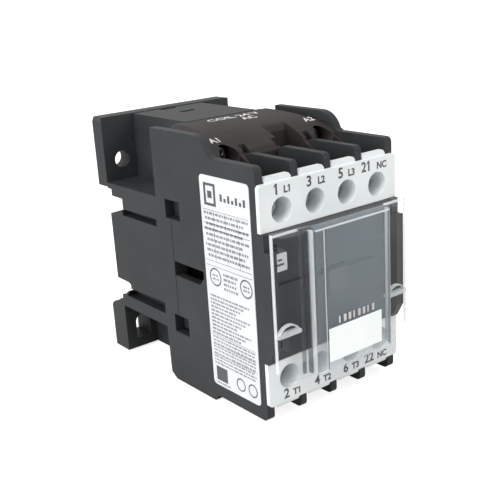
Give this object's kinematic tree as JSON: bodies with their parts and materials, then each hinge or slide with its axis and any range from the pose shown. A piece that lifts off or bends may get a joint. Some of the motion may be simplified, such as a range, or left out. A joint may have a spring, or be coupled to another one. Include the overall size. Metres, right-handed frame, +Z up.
{
  "type": "industrial control relay",
  "caption": "Power relay for a control cabinet: rail-mounting base, magnet coil, moving contact carrier, screw terminals behind pale strips and a clear removable front cover",
  "frame": {"origin": "centre line of the 35 mm rail seat, on the rear mounting plane", "axes": "+X to the right seen from the front, -Y out of the front cover, +Z up; the coil terminals are at the top"},
  "size_m": [0.0472, 0.0847, 0.074],
  "materials": {
    "housing_black": "glass-filled moulding, fine matt texture",
    "head_brown": "dark brown-black moulding, satin",
    "strip_grey": "pale grey moulding, satin",
    "label_white": "printed film, satin",
    "cover_clear": "clear moulded plastic, polished",
    "zinc_steel": "zinc plated, satin",
    "spring_steel": "drawn spring wire",
    "magnet_steel": "stacked laminations, ground pole faces",
    "copper_wire": "enamelled copper winding",
    "contact_brass": "rolled strip, dull",
    "bridge_copper": "copper strip with silver tips",
    "carrier_black": "moulded, satin",
    "cushion_rubber": "soft rubber pad",
    "bobbin_plastic": "moulded, satin"
  },
  "bodies": {
    "housing": {"rear_base": "housing_black", "front_housing": "housing_black", "phase_barriers": "housing_black", "front_plate": "housing_black", "top_terminal_strip": "strip_grey", "bottom_terminal_strip": "strip_grey", "rating_label": "label_white", "coil_head": "head_brown", "coil_bobbin": "bobbin_plastic", "coil_winding": "copper_wire", "coil_terminal_a1": "contact_brass", "coil_terminal_a2": "contact_brass", "fixed_core": "magnet_steel", "shading_rings": "bridge_copper", "core_cushion": "cushion_rubber", "line_contact_1": "contact_brass", "load_contact_2": "contact_brass", "line_contact_3": "contact_brass", "load_contact_4": "contact_brass", "line_contact_5": "contact_brass", "load_contact_6": "contact_brass", "line_contact_21": "contact_brass", "load_contact_22": "contact_brass", "return_springs": "spring_steel", "rail_hook": "zinc_steel", "catch_spring": "spring_steel", "housing_screws": "zinc_steel"},
    "carrier": {"contact_carrier": "carrier_black", "armature": "magnet_steel", "armature_pin": "zinc_steel", "bridge_pole_1": "bridge_copper", "bridge_pole_2": "bridge_copper", "bridge_pole_3": "bridge_copper", "bridge_nc": "bridge_copper", "contact_springs": "spring_steel"},
    "rail_catch": {"rail_catch": "zinc_steel"},
    "clear_cover": {"clear_cover": "cover_clear", "marker_label": "label_white"},
    "clamp_washer_1": {"clamp_washer_1": "zinc_steel"},
    "terminal_screw_1": {"terminal_screw_1": "zinc_steel"},
    "clamp_washer_2": {"clamp_washer_2": "zinc_steel"},
    "terminal_screw_2": {"terminal_screw_2": "zinc_steel"},
    "clamp_washer_3": {"clamp_washer_3": "zinc_steel"},
    "terminal_screw_3": {"terminal_screw_3": "zinc_steel"},
    "clamp_washer_4": {"clamp_washer_4": "zinc_steel"},
    "terminal_screw_4": {"terminal_screw_4": "zinc_steel"},
    "clamp_washer_5": {"clamp_washer_5": "zinc_steel"},
    "terminal_screw_5": {"terminal_screw_5": "zinc_steel"},
    "clamp_washer_6": {"clamp_washer_6": "zinc_steel"},
    "terminal_screw_6": {"terminal_screw_6": "zinc_steel"},
    "clamp_washer_21": {"clamp_washer_21": "zinc_steel"},
    "terminal_screw_21": {"terminal_screw_21": "zinc_steel"},
    "clamp_washer_22": {"clamp_washer_22": "zinc_steel"},
    "terminal_screw_22": {"terminal_screw_22": "zinc_steel"},
    "coil_washer_a1": {"coil_washer_a1": "zinc_steel"},
    "coil_screw_a1": {"coil_screw_a1": "zinc_steel"},
    "coil_washer_a2": {"coil_washer_a2": "zinc_steel"},
    "coil_screw_a2": {"coil_screw_a2": "zinc_steel"}
  },
  "joints": [
    {"name": "carrier_slide", "type": "slide", "parent": "housing", "child": "carrier", "axis": [0, 1, 0], "range_m": [0, 0.005], "stiffness_N_per_m": 400, "springref_m": -0.006, "deforming": ["return_springs"]},
    {"name": "catch_slide", "type": "slide", "parent": "housing", "child": "rail_catch", "axis": [0, 0, 1], "range_m": [-0.0022, 0], "stiffness_N_per_m": 800, "springref_m": 0.002, "deforming": ["catch_spring"]},
    {"name": "cover_lift", "type": "slide", "parent": "housing", "child": "clear_cover", "axis": [0, -1, 0], "range_m": [0, 0.02]},
    {"name": "washer_1_feed", "type": "slide", "parent": "housing", "child": "clamp_washer_1", "axis": [0, 1, 0], "range_m": [0, 0.004]},
    {"name": "screw_1_turn", "type": "hinge", "parent": "clamp_washer_1", "child": "terminal_screw_1", "pos_m": [-0.0165, -0.0711, 0.022], "axis": [0, 1, 0], "range_deg": [0, 2401]},
    {"name": "washer_2_feed", "type": "slide", "parent": "housing", "child": "clamp_washer_2", "axis": [0, 1, 0], "range_m": [0, 0.004]},
    {"name": "screw_2_turn", "type": "hinge", "parent": "clamp_washer_2", "child": "terminal_screw_2", "pos_m": [-0.0165, -0.0711, -0.022], "axis": [0, 1, 0], "range_deg": [0, 2401]},
    {"name": "washer_3_feed", "type": "slide", "parent": "housing", "child": "clamp_washer_3", "axis": [0, 1, 0], "range_m": [0, 0.004]},
    {"name": "screw_3_turn", "type": "hinge", "parent": "clamp_washer_3", "child": "terminal_screw_3", "pos_m": [-0.0055, -0.0711, 0.022], "axis": [0, 1, 0], "range_deg": [0, 2401]},
    {"name": "washer_4_feed", "type": "slide", "parent": "housing", "child": "clamp_washer_4", "axis": [0, 1, 0], "range_m": [0, 0.004]},
    {"name": "screw_4_turn", "type": "hinge", "parent": "clamp_washer_4", "child": "terminal_screw_4", "pos_m": [-0.0055, -0.0711, -0.022], "axis": [0, 1, 0], "range_deg": [0, 2401]},
    {"name": "washer_5_feed", "type": "slide", "parent": "housing", "child": "clamp_washer_5", "axis": [0, 1, 0], "range_m": [0, 0.004]},
    {"name": "screw_5_turn", "type": "hinge", "parent": "clamp_washer_5", "child": "terminal_screw_5", "pos_m": [0.0055, -0.0711, 0.022], "axis": [0, 1, 0], "range_deg": [0, 2401]},
    {"name": "washer_6_feed", "type": "slide", "parent": "housing", "child": "clamp_washer_6", "axis": [0, 1, 0], "range_m": [0, 0.004]},
    {"name": "screw_6_turn", "type": "hinge", "parent": "clamp_washer_6", "child": "terminal_screw_6", "pos_m": [0.0055, -0.0711, -0.022], "axis": [0, 1, 0], "range_deg": [0, 2401]},
    {"name": "washer_21_feed", "type": "slide", "parent": "housing", "child": "clamp_washer_21", "axis": [0, 1, 0], "range_m": [0, 0.004]},
    {"name": "screw_21_turn", "type": "hinge", "parent": "clamp_washer_21", "child": "terminal_screw_21", "pos_m": [0.0165, -0.0711, 0.022], "axis": [0, 1, 0], "range_deg": [0, 2401]},
    {"name": "washer_22_feed", "type": "slide", "parent": "housing", "child": "clamp_washer_22", "axis": [0, 1, 0], "range_m": [0, 0.004]},
    {"name": "screw_22_turn", "type": "hinge", "parent": "clamp_washer_22", "child": "terminal_screw_22", "pos_m": [0.0165, -0.0711, -0.022], "axis": [0, 1, 0], "range_deg": [0, 2401]},
    {"name": "coil_washer_a1_feed", "type": "slide", "parent": "housing", "child": "coil_washer_a1", "axis": [0, 1, 0], "range_m": [0, 0.0015]},
    {"name": "coil_screw_a1_turn", "type": "hinge", "parent": "coil_washer_a1", "child": "coil_screw_a1", "pos_m": [-0.0164, -0.0522, 0.0322], "axis": [0, 1, 0], "range_deg": [0, 1081]},
    {"name": "coil_washer_a2_feed", "type": "slide", "parent": "housing", "child": "coil_washer_a2", "axis": [0, 1, 0], "range_m": [0, 0.0015]},
    {"name": "coil_screw_a2_turn", "type": "hinge", "parent": "coil_washer_a2", "child": "coil_screw_a2", "pos_m": [0.0164, -0.0522, 0.0322], "axis": [0, 1, 0], "range_deg": [0, 1081]}
  ],
  "couplings": [
    {"joint": "screw_1_turn", "follows": "washer_1_feed", "rad_per_m": 10472},
    {"joint": "screw_2_turn", "follows": "washer_2_feed", "rad_per_m": 10472},
    {"joint": "screw_3_turn", "follows": "washer_3_feed", "rad_per_m": 10472},
    {"joint": "screw_4_turn", "follows": "washer_4_feed", "rad_per_m": 10472},
    {"joint": "screw_5_turn", "follows": "washer_5_feed", "rad_per_m": 10472},
    {"joint": "screw_6_turn", "follows": "washer_6_feed", "rad_per_m": 10472},
    {"joint": "screw_21_turn", "follows": "washer_21_feed", "rad_per_m": 10472},
    {"joint": "screw_22_turn", "follows": "washer_22_feed", "rad_per_m": 10472},
    {"joint": "coil_screw_a1_turn", "follows": "coil_washer_a1_feed", "rad_per_m": 12566},
    {"joint": "coil_screw_a2_turn", "follows": "coil_washer_a2_feed", "rad_per_m": 12566}
  ]
}
